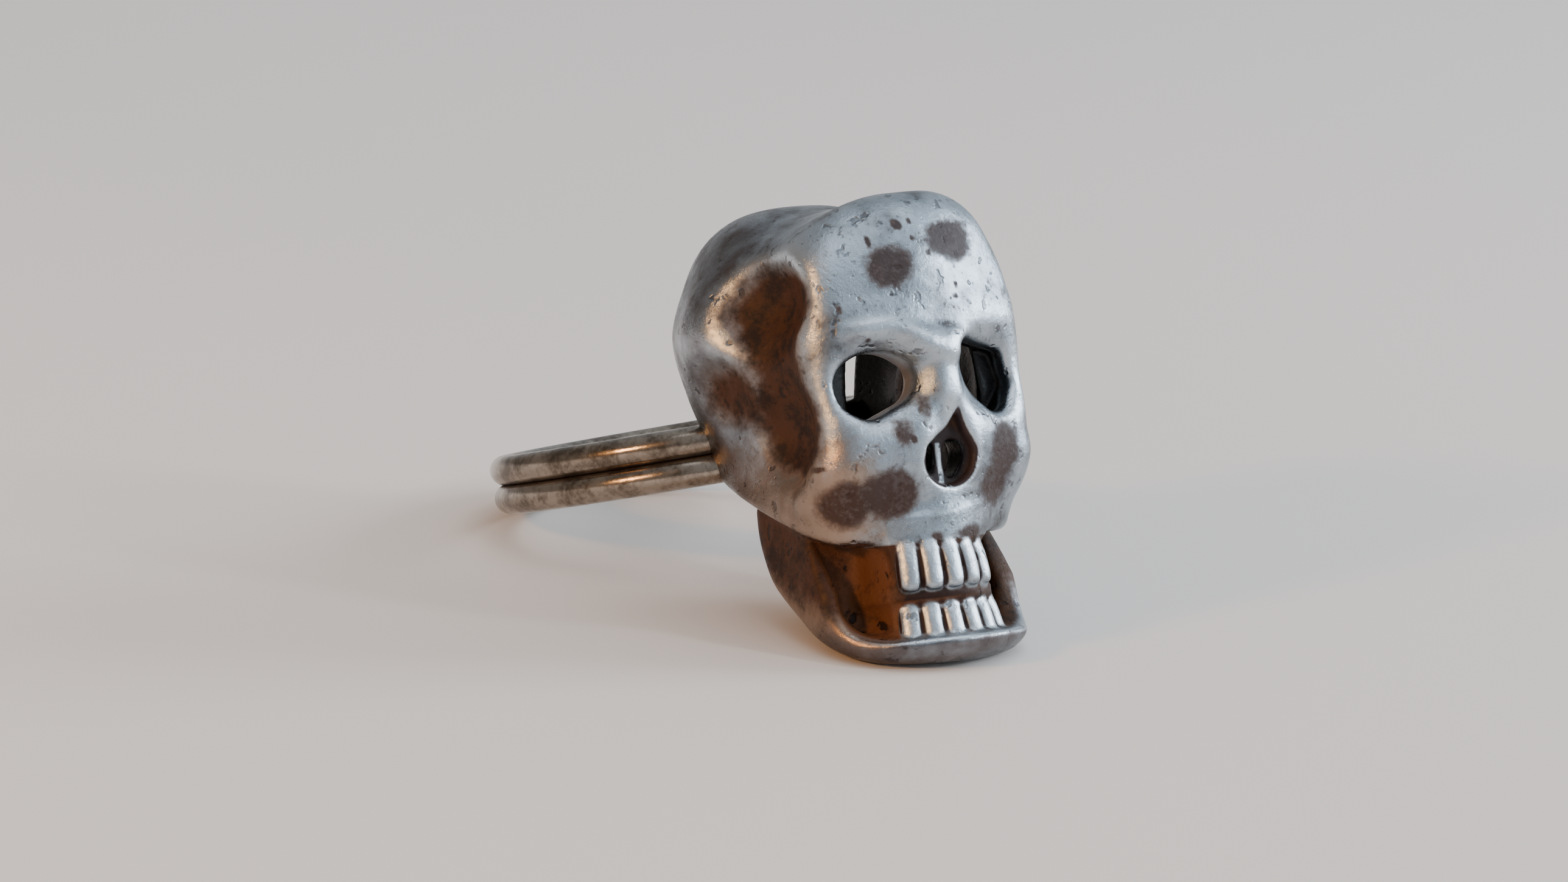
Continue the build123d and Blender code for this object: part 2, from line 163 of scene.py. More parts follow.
pushedThrough = ("upperTempleDent", "lowerTempleDent", "saddleBetweenDents", "dentOverWires")

# Outlines of what is cut into the face, in millimetres across and up from the middle of the band
openings = {
    "rightEye": (
        (-5.17, 2.34), (-4.16, 3.29), (-2.38, 3.38), (-1.06, 2.38), (-1.35, 1.13), (-3.75, 0.11), (-5.03, 0.93),
    ),
    "leftEye": (
        (1.02, 3.29), (1.59, 3.66), (4.52, 2.95), (4.96, 1.41), (4.05, 0.18), (3.24, 0.07), (1.78, 1.29),
    ),
    "rightNostril": ((-1.45, -1.22), (-0.72, -0.97), (-0.50, -1.61), (-0.76, -2.59), (-1.29, -2.35)),
    "leftNostril": (
        (0.02, -1.08), (0.52, -0.92), (1.06, -1.27), (1.12, -1.91), (0.68, -2.71), (0.14, -2.83), (-0.16, -2.06),
    ),
}
noseTip = ((0.41, 0.30), (1.15, -1.60), (-0.95, -1.60))
nose = {
    "centre": (-0.12, -1.92),
    "radii": (1.36, 1.18),
    "deep": 0.55,
    "start": 15.0,
    "tipRound": 0.3,
    "tearRound": 0.4,
}
openingsReach = 0.78  # how far back the openings are cut, as a share of the depth
cornerRound = {"rightEye": 0.55, "leftEye": 0.30, "rightNostril": 0.30, "leftNostril": 0.35}

mouth = {
    "back": 0.70,
    "knee": 0.175,
    "slope": 0.95,
    "rim": 0.068,
    "round": 2.6,
    "pocketRight": -0.73,
    "pocketLeft": 0.66,
    "pocketBack": 0.603,
    "pocketFloor": 0.080,
    "pocketRound": 2.0,
    "jawTop": 0.388,
    "jawArch": 0.8,
}

# aside, centre, radius, half width, back, low, high of the blocks that carry the teeth
toothBlocks = {
    "upper": (-0.09, 0.648, 0.570, 0.390, 0.457, 0.155, 0.308),
    "lower": (-0.02, 0.623, 0.585, 0.440, 0.600, 0.060, 0.156),
}

# The lower teeth splay: their row is wider at the gum than at the tips.
teeth = {
    "upper": {
        "count": 5,
        "width": 1.08,
        "pitch": 1.04,
        "above": 1.75,
        "below": 1.12,
        "level": 0.2145,
        "splay": -0.16,
        "sink": 0.12,
    },
    "lower": {
        "count": 6,
        "width": 1.04,
        "pitch": 1.00,
        "above": 1.12,
        "below": 1.30,
        "level": 0.090,
        "splay": -0.24,
        "sink": 0.0,
    },
    "depth": 1.0,
    "sidePower": 2.2,
    "endPower": 4,
    "farAway": 9.0,
}


def smoothRow(rows, column, level):
    x, y = rows[:, 0], rows[:, column]
    slope = np.gradient(y, x)
    i = np.clip(np.searchsorted(x, level) - 1, 0, len(x) - 2)
    step = x[i + 1] - x[i]
    t = np.clip((level - x[i]) / step, 0, 1)
    rise = (3 - 2 * t) * t * t
    bend = step * t * (1 - t) * (slope[i] * (1 - t) - slope[i + 1] * t)
    return y[i] * (1 - rise) + y[i + 1] * rise + bend


def meet(a, b, blend):
    overlap = np.maximum(blend - np.abs(a - b), 0) / blend
    return np.maximum(a, b) + overlap * overlap * blend / 4


def join(a, b, blend):
    return -meet(-a, -b, blend)


def forwardOf(share):
    return skull["rearRadius"] + share * skull["depth"]


def levelOf(share):
    return share * skullHeight - skull["chin"]


def reliefFade(name, x, f, z):
    sides, across, forward, level, wide, deep, high = reliefRows[name][:7]
    total = 0
    for side in (1, -1)[:sides]:
        u = (x / halfWidth - side * across) / wide
        v = ((f - skull["rearRadius"]) / skull["depth"] - forward) / deep
        w = ((z + skull["chin"]) / skullHeight - level) / high
        total = total + np.exp(-((u * u + v * v + w * w) ** 1.7))
    return total


def pressRelief(surface, x, f, z, names=None, strength=1.0):
    for name, row in reliefRows.items():
        if names is None or name in names:
            surface = surface - strength * row[7] * halfWidth * reliefFade(name, x, f, z)
    return surface


def fromMiddle(x):
    return np.sqrt(x * x + skull["ridge"] ** 2) - skull["ridge"]


def headWalls(x, f, z, sideInset=0.0, faceInset=0.0):
    level = (z + skull["chin"]) / skullHeight
    depth = (f - skull["rearRadius"]) / skull["depth"]
    front = np.clip((depth - skull["frontFrom"]) / skull["frontOver"], 0, 1)
    front = (3 - 2 * front) * front * front
    half = smoothRow(headRows, 1, level) * front + smoothRow(headRows, 2, level) * (1 - front)
    behind = np.clip((skull["pinchFrom"] - depth) / skull["pinchOver"], 0, 1)
    pinch = 1 - skull["pinch"] * behind ** skull["pinchPower"]
    side = np.abs(x) - half * pinch * halfWidth + sideInset
    aside = fromMiddle(x)
    reach = forwardOf(smoothRow(headRows, 3, level)) - smoothRow(headRows, 4, level) * aside
    face = (f - reach) * skull["slant"] + faceInset
    crown = z - skull["crown"] + skull["camber"] * x * x / halfWidth + sideInset
    return meet(meet(side, face, rounds["cheek"]), crown, rounds["crown"])


def headShape(x, f, z):
    depth = (f - skull["rearRadius"]) / skull["depth"]
    drop = headEdge["drop"] * np.clip((depth - headEdge["middle"]) / headEdge["reach"], -1, 1)
    edge = levelOf(headEdge["level"] - drop)
    surface = pressRelief(headWalls(x, f, z), x, f, z)
    surface = meet(surface, edge - z, rounds["edge"])
    belowNape = np.maximum(levelOf(headEdge["napeLevel"]) - z, 0)
    nape = forwardOf(headEdge["nape"]) + headEdge["napeSlope"] * belowNape
    return meet(surface, nape - f, rounds["edge"])


def jawWalls(x, f, z, inset=0.0):
    level = (z + skull["chin"]) / skullHeight
    depth = (f - skull["rearRadius"]) / skull["depth"]
    front = (depth - jaw["frontFrom"]) / jaw["frontOver"]
    half = smoothRow(jawRows, 1, level) * front + smoothRow(jawRows, 2, level) * (1 - front)
    side = np.abs(x) - half * halfWidth + inset
    reach = forwardOf(smoothRow(jawRows, 3, level))
    chin = (f - reach + jaw["chinSlope"] * fromMiddle(x)) * skull["slant"]
    walls = meet(side, chin, rounds["jawFront"])
    return meet(walls, inset - skull["chin"] - z, rounds["jawBottom"])


def jawShape(x, f, z):
    level = (z + skull["chin"]) / skullHeight
    half = smoothRow(jawRows, 2, level) * halfWidth
    rear = forwardOf(smoothRow(jawRows, 4, level)) + mouth["jawArch"] * (1 - (x / half) ** 2)
    surface = meet(jawWalls(x, f, z), z - levelOf(mouth["jawTop"]), rounds["edge"])
    surface = meet(surface, rear - f, mouth["pocketRound"])
    back = forwardOf(mouth["back"] - mouth["slope"] * np.maximum(level - mouth["knee"], 0))
    front = meet(back - f, levelOf(mouth["rim"]) - z, mouth["round"])
    pocket = np.maximum(mouth["pocketRight"] * halfWidth - x, x - mouth["pocketLeft"] * halfWidth)
    pocket = np.maximum(pocket, forwardOf(mouth["pocketBack"]) - f)
    floorAndTop = np.maximum(levelOf(mouth["pocketFloor"]) - z, z - levelOf(mouth["jawTop"]))
    pocket = meet(pocket, floorAndTop, mouth["pocketRound"])
    return meet(meet(surface, -front, rounds["edge"]), -pocket, rounds["edge"])


def toothBlock(x, f, z, row):
    aside, centre, radius, half, back, low, high = row
    across = x - aside * halfWidth
    surface = np.hypot(across, f - forwardOf(centre)) - radius * halfWidth
    surface = np.maximum(surface, np.abs(across) - half * halfWidth)
    surface = np.maximum(surface, np.maximum(z - levelOf(high), levelOf(low) - z))
    return np.maximum(surface, forwardOf(back) - f)


def toothShapes(x, f, z):
    # distance to the nearest tooth, and how far to its side the point lies: 0 in its middle, 1 at its edge
    sidePower, endPower = teeth["sidePower"], teeth["endPower"]
    total = np.full(np.shape(x), teeth["farAway"])
    toSide = np.zeros(np.shape(x))
    for row in ("upper", "lower"):
        aside, centre, radius = toothBlocks[row][:3]
        sizes = teeth[row]
        up = z - levelOf(sizes["level"])
        radius = radius * halfWidth
        for i in range(sizes["count"]):
            turn = (i - (sizes["count"] - 1) / 2) * sizes["pitch"] / radius
            out = radius + sizes["splay"] * up - sizes["sink"] * np.maximum(up, 0) ** 2
            right = x - aside * halfWidth - out * math.sin(turn)
            ahead = f - forwardOf(centre) - out * math.cos(turn)
            u = np.abs(right * math.cos(turn) - ahead * math.sin(turn)) / (sizes["width"] / 2)
            v = np.abs(right * math.sin(turn) + ahead * math.cos(turn)) / (teeth["depth"] / 2)
            w = np.where(up > 0, up / sizes["above"], -up / sizes["below"])
            oval = (u**sidePower + v**sidePower) ** (endPower / sidePower) + w**endPower
            tooth = (oval ** (1 / endPower) - 1) * sizes["width"] / 2
            toSide = np.where(tooth < total, u, toSide)
            total = np.minimum(total, tooth)
    return total, toSide


def hollow(x, f, z):
    inside = headWalls(x, f, z, skull["sideWall"], skull["faceWall"])
    inside = pressRelief(inside, x, f, z, pushedThrough, shell["dentStrength"])
    inside = meet(inside, levelOf(shell["floor"]) - z, rounds["inside"])
    throat = np.maximum(jawWalls(x, f, z, skull["sideWall"]), z - levelOf(mouth["jawTop"]))
    throat = meet(throat, f - forwardOf(shell["throat"]), rounds["inside"])
    return join(inside, throat, rounds["inside"])


def withinOutline(x, z, corners, blend):
    total = None
    turning = 0
    for (x0, z0), (x1, z1) in zip(corners, corners[1:] + corners[:1]):
        turning += x0 * z1 - x1 * z0
    way = 1 if turning > 0 else -1
    for (x0, z0), (x1, z1) in zip(corners, corners[1:] + corners[:1]):
        long = math.hypot(x1 - x0, z1 - z0)
        edge = way * ((x - x0) * (z1 - z0) - (z - z0) * (x1 - x0)) / long
        total = edge if total is None else meet(total, edge, blend)
    return total


def noseRecess(x, f, z, outer):
    u = (x - nose["centre"][0]) / nose["radii"][0]
    v = (z - nose["centre"][1]) / nose["radii"][1]
    disc = (np.hypot(u, v) - 1) * nose["radii"][1]
    tear = join(disc, withinOutline(x, z, noseTip, nose["tipRound"]), nose["tearRound"])
    return np.maximum(np.maximum(tear, -outer - nose["deep"]), nose["start"] - f)


def skullPlace(x, y, z):
    turn = math.radians(skull["turn"])
    return x * math.cos(turn) - z * math.sin(turn), -y, x * math.sin(turn) + z * math.cos(turn)


def castingField(x, y, z):
    across, f, up = skullPlace(x, y, z)
    outer = join(headShape(across, f, up), jawShape(across, f, up), rounds["jawToHead"])
    for row in toothBlocks.values():
        outer = join(outer, toothBlock(across, f, up, row), rounds["toothBlock"])
    silver = meet(outer, -hollow(across, f, up), rounds["shellRim"])
    silver = meet(silver, -noseRecess(across, f, up, outer), rounds["noseRim"])
    for name, corners in openings.items():
        hole = withinOutline(across, up, corners, cornerRound[name])
        hole = np.maximum(hole, forwardOf(openingsReach) - f)
        silver = meet(silver, -hole, rounds["eyeRim" if "Eye" in name else "nostrilRim"])
    silver = join(silver, toothShapes(across, f, up)[0], rounds["tooth"])
    return meet(silver, skull["rearRadius"] - np.hypot(x, y), rounds["rearEdge"])


# The net that the casting is cut with, in millimetres: stretches of start, end and step along each axis
net = {
    "lines": (
        ((-8.1, -5.5, 0.2), (-5.5, 5.5, 0.14), (5.5, 8.1, 0.2)),
        ((-23.0, -14.0, 0.15), (-14.0, -6.0, 0.2)),
        ((-13.0, -2.0, 0.14), (-2.0, 4.0, 0.16), (4.0, 12.5, 0.2)),
    ),
    "nearest": 0.004,  # no corner of the net lies nearer to the surface
    "nudge": 0.01,
    "flattest": 0.1,
    "longestPull": 0.06,
    "evenings": 4,
    "smoothings": 30,
}


def gridLines(*stretches):
    lines = [stretches[0][0]]
    for start, end, step in stretches:
        count = max(1, math.ceil((end - start) / step))
        lines.extend(start + (end - start) * np.arange(1, count + 1) / count)
    return np.array(lines)


def fillCornerContacts(inside):
    # two filled corners that touch only across a face or a cell would pinch the surface
    def part(shift):
        return tuple(slice(s, n - 1 + s) if s is not None else slice(None) for s, n in zip(shift, inside.shape))

    while True:
        fill = np.zeros_like(inside)
        for axis in range(3):
            pair = [i for i in range(3) if i != axis]
            shifts = []
            for i, j in ((0, 0), (1, 0), (0, 1), (1, 1)):
                place = [None] * 3
                place[pair[0]], place[pair[1]] = i, j
                shifts.append(place)
            a, b, c, d = (inside[part(s)] for s in shifts)
            fill[part(shifts[1])] |= a & d & ~b & ~c
            fill[part(shifts[0])] |= b & c & ~a & ~d
        corners = [(i, j, k) for i in (0, 1) for j in (0, 1) for k in (0, 1)]
        count = sum(inside[part(corner)].astype(int) for corner in corners)
        for i, j, k in corners[:4]:
            near, far = inside[part((i, j, k))], inside[part((1 - i, 1 - j, 1 - k))]
            fill[part((i, j, 1 - k))] |= near & far & (count == 2)
            fill[part((i, j, k))] |= ~near & ~far & (count == 6)
        if not (fill & ~inside).any():
            return inside
        inside = inside | fill


def netOver(field, lines):
    points = np.stack(np.meshgrid(*lines, indexing="ij"), -1)
    value = field(*np.moveaxis(points, -1, 0))
    inside = fillCornerContacts(value < 0)
    value = np.where(inside, np.minimum(value, -net["nearest"]), np.maximum(value, net["nearest"]))
    cells = tuple(n - 1 for n in value.shape)
    total, hits, cuts = np.zeros((*cells, 3)), np.zeros(cells), []
    for axis in range(3):
        others = [(axis + 1) % 3, (axis + 2) % 3]
        low = tuple(slice(0, -1) if i == axis else slice(None) for i in range(3))
        high = tuple(slice(1, None) if i == axis else slice(None) for i in range(3))
        cut = inside[low] != inside[high]
        start, end = value[low][cut], value[high][cut]
        share = (start / (start - end))[:, None]
        crossing = points[low][cut] * (1 - share) + points[high][cut] * share
        corners = []
        for back in ((0, 0), (1, 0), (1, 1), (0, 1)):
            cell = np.argwhere(cut)
            cell[:, others] -= back
            np.add.at(total, tuple(cell.T), crossing)
            np.add.at(hits, tuple(cell.T), 1)
            corners.append(cell)
        cuts.append((corners, inside[low][cut]))
    number = np.cumsum(hits.ravel() > 0).reshape(cells) - 1
    place = total[hits > 0] / hits[hits > 0][:, None]
    quads = []
    for corners, startsInside in cuts:
        around = np.stack([number[tuple(cell.T)] for cell in corners], 1)
        around[~startsInside] = around[~startsInside][:, ::-1]
        quads.append(around)
    return place, np.concatenate(quads)


def pullOnto(field, points):
    nudge, longest = net["nudge"], net["longestPull"]
    value = field(*points.T)
    slope = []
    for axis in np.eye(3) * nudge:
        slope.append((field(*(points + axis).T) - field(*(points - axis).T)) / (2 * nudge))
    slope = np.stack(slope, 1)
    move = value / np.maximum((slope**2).sum(1), net["flattest"])
    return points - slope * np.clip(move, -longest, longest)[:, None], slope


def neighbourMeans(quads):
    sides = np.concatenate([quads[:, pair] for pair in ((0, 1), (1, 2), (2, 3), (3, 0))])
    start, end = np.concatenate([sides, sides[:, ::-1]]).T
    count = np.bincount(start)[:, None]

    def means(values):
        total = np.stack([np.bincount(start, column[end]) for column in values.T], 1)
        return total / count

    return means


def newPiece(name, points, faces):
    mesh = bpy.data.meshes.new(name)
    mesh.from_pydata(points.tolist(), [], faces.tolist())
    piece = bpy.data.objects.new(name, mesh)
    bpy.context.scene.collection.objects.link(piece)
    mesh.update()
    mesh.shade_smooth()
    return piece


def leanBack():
    turned = Matrix.Rotation(-lean, 4, "X") @ Matrix.Rotation(roll, 4, "Y")
    return Matrix.Translation(bandCentre) @ turned @ Matrix.Scale(mm, 4)


def setAttribute(piece, name, values):
    layer = piece.data.attributes.new(name, "FLOAT", "POINT")
    layer.data.foreach_set("value", np.ascontiguousarray(values, dtype=np.float32))


# Stains: across, forward, up in millimetres from the middle of the band, their three radii, strength
stains = {
    "foreheadSpotRight": (-2.00, 20.7, 7.20, 1.25, 1.8, 1.00, 1.0),
    "foreheadSpotLeft": (1.55, 20.6, 8.30, 1.45, 1.8, 1.00, 1.0),
    "rightCheekOuter": (-4.95, 19.3, -3.50, 1.10, 1.8, 1.05, 1.1),
    "rightCheekInner": (-3.05, 20.3, -3.25, 1.35, 1.6, 1.10, 1.1),
    "rightCheekBetween": (-4.05, 19.9, -3.20, 0.90, 1.6, 0.90, 0.9),
    "leftCheekUpper": (3.45, 20.7, -1.80, 1.10, 1.8, 1.35, 0.9),
    "leftCheekLower": (2.75, 20.6, -3.40, 1.05, 1.8, 1.20, 0.85),
    "gumMiddle": (0.80, 20.9, -5.40, 1.00, 1.2, 0.42, 0.8),
    "gumRight": (-1.25, 20.9, -5.45, 0.42, 1.2, 0.28, 0.8),
    "orbitLower": (-2.45, 21.0, -0.45, 0.60, 1.2, 0.75, 0.75),
    "orbitInner": (-1.35, 21.1, 0.60, 0.40, 1.2, 0.80, 0.6),
    "rustHigh": (-1.08, 20.3, 9.15, 0.26, 0.8, 0.26, 1.0),
    "rustHighLeft": (-0.40, 20.4, 9.30, 0.15, 0.8, 0.18, 0.9),
    "rustStreak": (-2.66, 20.0, 8.45, 0.14, 0.8, 0.34, 0.9),
    "rustUnderHigh": (-0.56, 20.6, 8.47, 0.14, 0.8, 0.16, 0.8),
    "rustMiddle": (0.11, 20.9, 7.72, 0.16, 0.8, 0.20, 0.8),
    "rustBrowUpper": (1.45, 21.0, 6.13, 0.16, 0.8, 0.16, 0.8),
    "rustBrowLower": (1.29, 21.1, 5.61, 0.18, 0.8, 0.16, 0.8),
    "rustNose": (-2.11, 21.2, -0.88, 0.18, 0.8, 0.24, 0.9),
    "rustTemple": (-4.76, 20.1, 5.48, 0.16, 0.8, 0.20, 0.6),
    "rustOrbit": (-3.63, 20.4, 3.90, 0.16, 0.8, 0.14, 0.8),
    "rustCheek": (-6.02, 18.9, -1.79, 0.20, 0.7, 0.16, 0.8),
}


# Painted highlights, bright spots that stand for reflections of the lamps: the same places, then the three radii
highlightSpots = {
    "betweenBrows": (-0.45, 21.4, 3.60, 0.60, 1.5, 0.50),
    "browRight": (-3.60, 20.5, 4.75, 1.40, 1.5, 0.30),
    "noseBridge": (-0.10, 21.6, 1.50, 0.40, 1.5, 1.60),
    "underRightEye": (-3.30, 20.8, -0.30, 1.30, 1.5, 0.45),
    "underNose": (0.10, 21.0, -3.20, 1.00, 1.5, 0.26),
    "chinRight": (-4.60, 19.1, -9.80, 0.45, 1.0, 0.30),
    "chinFront": (-0.65, 21.6, -10.20, 0.90, 1.2, 0.30),
    "cheekRight": (-5.75, 17.1, -3.20, 0.45, 0.6, 0.45),
}


stainReach = 1.5  # a stain fades out at this many of its radii


def fromSpot(spot, across, f, up):
    x0, f0, z0, rx, rf, rz = spot
    return ((across - x0) / rx) ** 2 + ((f - f0) / rf) ** 2 + ((up - z0) / rz) ** 2


def stainField(across, f, up):
    total = np.zeros(len(across))
    for *spot, strength in stains.values():
        distance = np.sqrt(fromSpot(spot, across, f, up))
        total = np.maximum(total, strength * np.clip(stainReach - distance, 0, 1))
    return total


def highlightField(across, f, up):
    return np.max([np.exp(-fromSpot(spot, across, f, up)) for spot in highlightSpots.values()], axis=0)


def closedShape(x, f, z):
    # the skull with its mouth and its back filled in
    filledJaw = meet(jawWalls(x, f, z), z - levelOf(mouth["jawTop"]), rounds["edge"])
    return join(headShape(x, f, z), filledJaw, rounds["jawToHead"])


# Where each mask of the tarnish and of the painted light and shade starts and where it is full, in millimetres
# where nothing else is said
marks = {
    "facesDown": (0.45, 0.05),  # upward part of the normal
    "jawBottom": (levelOf(0.13), levelOf(0.13) - 1.2),
    "onTooth": (0.12, 0.0),
    "belowGum": (levelOf(0.268), levelOf(0.268) - 0.25),
    "offHead": (0.045, 0.195),
    "onHollow": (0.192, 0.072),
    "underCheekOxideAndShade": (4.73, 0.43),
    "onBlock": (0.3, 0.1),
    "clearOfHead": (0.0, 0.15),
    "toothSide": (0.70, 0.90),  # share of the tooth's half width
    "withinHead": (0.20, 0.90),
    "onRecess": (0.24, 0.08),
    "rear": (forwardOf(0.70), forwardOf(0.70) - 6),
    "low": (0.6, -1.9),
    "farWallFront": (16.6, 15.8),
    "farWallBack": (11.0, 11.8),
    "farWallTop": (4.2, 3.2),
    "farWallBottom": (-1.2, -0.2),
    "warmSide": (-2.8, -5.3),
    "warmHeight": (0.8, -2.7),
    "nearSide": (0.8, -0.8),
}

# Where the masks end at once: millimetres, or shares of the depth and the height
limits = {
    "jawUnderHead": 0.3,
    "skin": -0.15,
    "gumsForward": 0.75,
    "shallow": 0.6,
    "cheekEdge": 0.02,
    "rowMiddle": -0.35,
    "rowHalf": 2.45,
    "insideForward": 0.6,
    "insideLevel": 0.30,
    "eyeAcross": -1.0,
    "eyeUp": -0.3,
    "eyeForward": 0.80,
    "eyeRustAcross": -3.4,
    "inRecess": -0.16,
    "recessCover": -0.75,
    "farWallAcross": 2.5,
    "deepLevel": 0.45,
}

# How strong the masks are
maskStrengths = {
    "highlightSlope": 1.4,  # painted highlight: what faces down gets less of the bright edge colour
    "highlightLeast": 0.25,
    "undersideUnlit": 0.8,
    "toothPolishAndHighlight": -0.13,
    "septumBright": 0.7,
    "rearShade": 0.6,
    "undersideShade": 0.85,
    "eyeRust": 0.6,
    "farWallRust": 0.9,
}
septumLine = {"across": 0.34, "slant": 0.10, "level": 1.9, "half": 0.16, "top": -1.1}
dentFades = ((0.0, 0.95), (0.8, 1.0))  # how far forward of the dent, how strong


def mark(value, name):
    start, end = marks[name]
    return np.clip((value - start) / (end - start), 0, 1)


def dentField(across, f, up):
    # the oxide lies thickest towards the face side of each dent, and there it also stands for painted shade
    total = 0
    for forward, share in dentFades:
        fades = [row[8] * reliefFade(name, across, f - forward, up) for name, row in reliefRows.items() if row[8]]
        total = np.maximum(total, share * sum(fades))
    return total


def gumsAndToothShadeField(across, f, up, overJaw, onTooth, toSide):
    # dark in the grooves of the gums, and painted shade on the flanks of each tooth
    gumsAndToothShade = np.max([mark(np.abs(toothBlock(across, f, up, row)), "onBlock") for row in toothBlocks.values()], axis=0)
    gumsAndToothShade = gumsAndToothShade * (1 - onTooth) * mark(overJaw, "clearOfHead")
    gumsAndToothShade = gumsAndToothShade * (np.abs(across - limits["rowMiddle"]) < limits["rowHalf"])
    return np.maximum(gumsAndToothShade, onTooth * mark(toSide, "toothSide"))


def noseField(across, f, up, overJaw):
    recess = noseRecess(across, f, up, np.zeros(len(up)))
    inNose = np.where(recess < limits["inRecess"], 1, mark(np.abs(recess), "onRecess"))
    line = across + septumLine["across"] + septumLine["slant"] * (up + septumLine["level"])
    septum = np.exp(-((line / septumLine["half"]) ** 4)) * (up < septumLine["top"])
    return inNose * (overJaw > limits["recessCover"]) * (1 - maskStrengths["septumBright"] * septum)


def castingMasks(points, normals, cavity):
    across, f, up = skullPlace(*points.T)
    overJaw = headShape(across, f, up)
    closed = closedShape(across, f, up)
    # painted shade on faces that turn down low on the jaw
    underside = mark(normals[:, 2], "facesDown") * mark(up, "jawBottom")
    underside = underside * (overJaw > limits["jawUnderHead"]) * (closed > limits["skin"])
    # painted highlight: the bright edge colour keeps mostly to faces that turn up, and less on the underside
    upwardHighlight = np.clip(1 + maskStrengths["highlightSlope"] * normals[:, 2], maskStrengths["highlightLeast"], 1)
    upwardHighlight = upwardHighlight * (1 - maskStrengths["undersideUnlit"] * underside)
    cavity = np.where(cavity < 0, cavity * upwardHighlight, cavity)

    toTooth, toSide = toothShapes(across, f, up)
    onTooth = mark(toTooth, "onTooth")
    belowGum = np.where(f > forwardOf(limits["gumsForward"]), mark(up, "belowGum"), 1)
    deep = np.maximum(-closed, 0) * mark(np.abs(overJaw), "offHead") * belowGum
    shallow = deep < limits["shallow"]
    # brown under the cheek's overhang: partly oxide, partly painted shade
    underCheekOxideAndShade = np.where(overJaw > limits["cheekEdge"], mark(overJaw, "underCheekOxideAndShade"), 0)

    # painted shade: the inside of the hollow skull is painted black
    innerShade = mark(np.abs(hollow(across, f, up)), "onHollow")
    shaded = mark(-overJaw, "withinHead") * (f > forwardOf(limits["insideForward"]))
    shaded = shaded * (up > levelOf(limits["insideLevel"]))
    nearEye = shaded * (across < limits["eyeAcross"]) * (up > limits["eyeUp"])
    nearEye = nearEye * (f > forwardOf(limits["eyeForward"]))
    farWall = (across > limits["farWallAcross"]) * innerShade
    farWall = farWall * mark(f, "farWallFront") * mark(f, "farWallBack")
    farWall = farWall * mark(up, "farWallTop") * mark(up, "farWallBottom")
    # painted shade towards the rear of the skull
    rear = mark(f, "rear") * (up > levelOf(limits["insideLevel"]))
    nearRust = nearEye * (across > limits["eyeRustAcross"])

    return {
        # the teeth take the bright edge colour all over: polish, and painted highlight on their upward faces
        "cavity": np.where(onTooth > 0.5, maskStrengths["toothPolishAndHighlight"] * upwardHighlight, cavity),
        "inNose": noseField(across, f, up, overJaw),
        # painted highlight spots
        "paintedHighlight": highlightField(across, f, up),
        "rearAndUnderShade": np.maximum(maskStrengths["rearShade"] * rear, maskStrengths["undersideShade"] * underside),
        "low": mark(up, "low"),
        "deep": deep * (1 - onTooth) * (up < levelOf(limits["deepLevel"])),
        "innerShade": np.maximum(innerShade * (1 - nearEye), shaded - nearEye) * (1 - farWall),
        "nearEye": np.maximum(maskStrengths["eyeRust"] * nearRust, maskStrengths["farWallRust"] * farWall),
        # painted warm reflection on the lower part of the skull's right side
        "paintedWarmLight": mark(across, "warmSide") * mark(up, "warmHeight"),
        "nearSide": mark(across, "nearSide"),
        "gumsAndToothShade": gumsAndToothShadeField(across, f, up, overJaw, onTooth, toSide) * belowGum,
        "dents": dentField(across, f, up) * shallow,
        "underCheekOxideAndShade": underCheekOxideAndShade * shallow * belowGum * (1 - onTooth),
        "stains": stainField(across, f, up) * shallow * (1 - onTooth),
    }


def buildCasting():
    points, quads = netOver(castingField, [gridLines(*stretches) for stretches in net["lines"]])
    means = neighbourMeans(quads)
    for _ in range(net["evenings"]):
        points, slope = pullOnto(castingField, (points + means(points)) / 2)
    points, slope = pullOnto(castingField, points)
    normals = slope / np.linalg.norm(slope, axis=1)[:, None]
    print("skull casting:", len(quads), "quads")

    smooth = points
    for _ in range(net["smoothings"]):
        smooth = means(smooth)
    cavity = ((smooth - points) * normals).sum(1)  # millimetres, plus in a hollow
    piece = newPiece("skullCasting", points, quads)
    # the masks carry tarnish, and also painted highlight and painted shade
    for name, values in castingMasks(points, normals, cavity).items():
        setAttribute(piece, name, values)
    piece.data.transform(leanBack())
    print("tarnish masks ready")
    return piece


def joinPieces(pieces, name):
    bpy.ops.object.select_all(action="DESELECT")
    for piece in pieces:
        piece.select_set(True)
    bpy.context.view_layer.objects.active = pieces[0]
    bpy.ops.object.join()
    joined = bpy.context.view_layer.objects.active
    joined.name = name
    joined.data.name = name
    return joined


def buildBand():
    wires = []
    for side in (1, -1):
        bpy.ops.mesh.primitive_torus_add(
            major_segments=band["ringSteps"],
            minor_segments=band["wireSteps"],
            major_radius=bandRadius,
            minor_radius=band["wire"] / 2,
            location=(0, 0, side * wireOffset),
        )
        wire = bpy.context.active_object
        bpy.ops.object.transform_apply(location=True, rotation=True, scale=True)
        bpy.ops.object.shade_smooth()
        wires.append(wire)
    piece = joinPieces(wires, "bandWires")
    points = np.array([vertex.co for vertex in piece.data.vertices])
    fromWire = np.abs(np.hypot(points[:, 0], points[:, 1]) - bandRadius)
    fromSeam = np.abs(points[:, 2]) + band["seamSlant"] * fromWire
    setAttribute(piece, "cleft", np.clip(band["seamDark"] - fromSeam / band["seamWide"], 0, 1))
    piece.data.transform(leanBack())
    print("band:", len(piece.data.polygons), "faces")
    return piece


